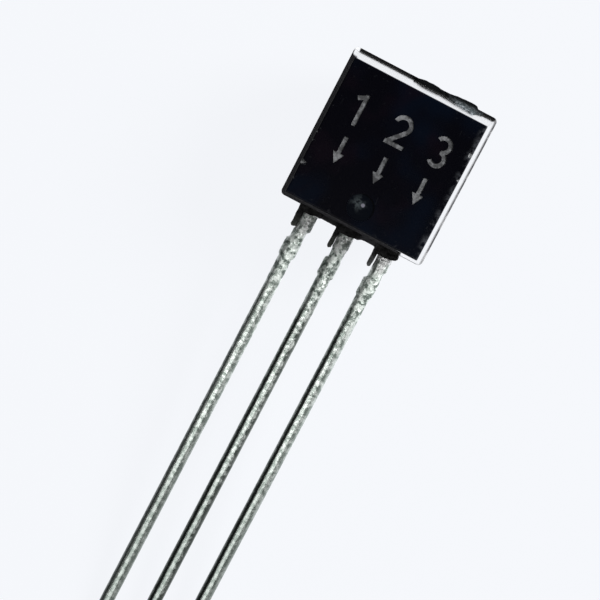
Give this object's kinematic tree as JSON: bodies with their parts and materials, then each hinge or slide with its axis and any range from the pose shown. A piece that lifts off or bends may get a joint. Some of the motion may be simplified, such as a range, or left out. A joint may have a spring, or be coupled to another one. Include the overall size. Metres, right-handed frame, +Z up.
{
  "type": "to-92 transistor",
  "caption": "Small transistor in a black moulded case with a flat front and a round back, on three long tinned leads in a row.",
  "frame": {"origin": "on the surface that the part lies on, under the middle of its box", "axes": "+X across the leads from the first to the third, +Y along the part from the lead tips to the case, +Z up; the flat face looks up, tipped back by the rest tilt"},
  "size_m": [0.0046, 0.019, 0.0042],
  "materials": {
    "moulded_case": "satin",
    "tinned_lead": "satin",
    "silicon_die": "polished",
    "die_bond": "satin",
    "gold_wire": "polished"
  },
  "bodies": {
    "root": {"case": "moulded_case", "collector_lead": "tinned_lead", "base_lead": "tinned_lead", "emitter_lead": "tinned_lead", "die": "silicon_die", "die_attach": "die_bond", "base_wire": "gold_wire", "emitter_wire": "gold_wire"}
  },
  "joints": []
}
